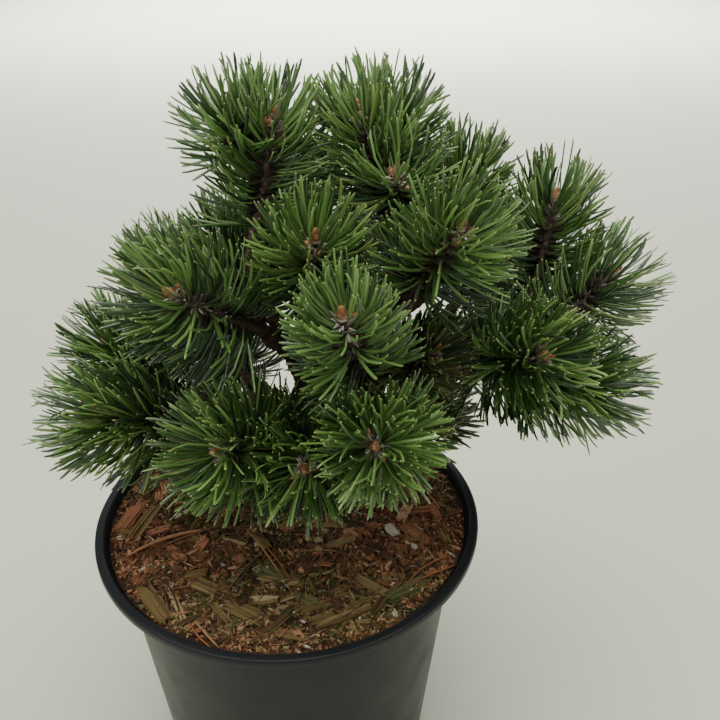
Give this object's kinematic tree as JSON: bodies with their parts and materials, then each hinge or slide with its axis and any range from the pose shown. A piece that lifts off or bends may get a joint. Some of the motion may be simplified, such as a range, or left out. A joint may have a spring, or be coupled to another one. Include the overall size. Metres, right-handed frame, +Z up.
{
  "type": "potted mugo pine",
  "caption": "Young mugo pine with dense tufts of needles on upswept boughs, growing in a round tapered nursery pot topped with bark mulch.",
  "frame": {"origin": "centre of the pot's flat underside", "axes": "+Z up along the pot's axis, -Y towards the side that the crown's lower front tufts hang over, +X towards the crown's longer side"},
  "size_m": [0.2909, 0.2559, 0.3688],
  "materials": {
    "pot": "black moulded plastic with a soft sheen",
    "soil": "loose brown bark mulch, rough",
    "bark": "rough grey-brown bark",
    "needles": "satin green needles"
  },
  "bodies": {
    "root": {"pot": "pot", "soil": "soil", "trunk": "bark", "bough_top": "bark", "bough_top_left": "bark", "bough_high_right": "bark", "bough_back_high": "bark", "bough_back": "bark", "bough_centre": "bark", "bough_centre_left": "bark", "bough_centre_right": "bark", "bough_upper_right": "bark", "bough_back_right": "bark", "bough_far_right": "bark", "bough_right": "bark", "bough_left": "bark", "bough_outer_left": "bark", "bough_upper_left": "bark", "bough_back_left": "bark", "bough_back_middle": "bark", "bough_front": "bark", "bough_front_left": "bark", "bough_front_middle": "bark", "bough_far_left": "bark", "bough_inner_left": "bark", "bough_back_left_low": "bark", "bough_back_low": "bark", "bough_back_right_low": "bark", "bough_low_right": "bark", "bough_inner_right": "bark", "needles_top": "needles", "needles_top_left": "needles", "needles_high_right": "needles", "needles_back_high": "needles", "needles_back": "needles", "needles_centre": "needles", "needles_centre_left": "needles", "needles_centre_right": "needles", "needles_upper_right": "needles", "needles_back_right": "needles", "needles_far_right": "needles", "needles_right": "needles", "needles_left": "needles", "needles_outer_left": "needles", "needles_upper_left": "needles", "needles_back_left": "needles", "needles_back_middle": "needles", "needles_front": "needles", "needles_front_left": "needles", "needles_front_middle": "needles", "needles_far_left": "needles", "needles_inner_left": "needles", "needles_back_left_low": "needles", "needles_back_low": "needles", "needles_back_right_low": "needles", "needles_low_right": "needles", "needles_inner_right": "needles"}
  },
  "joints": []
}
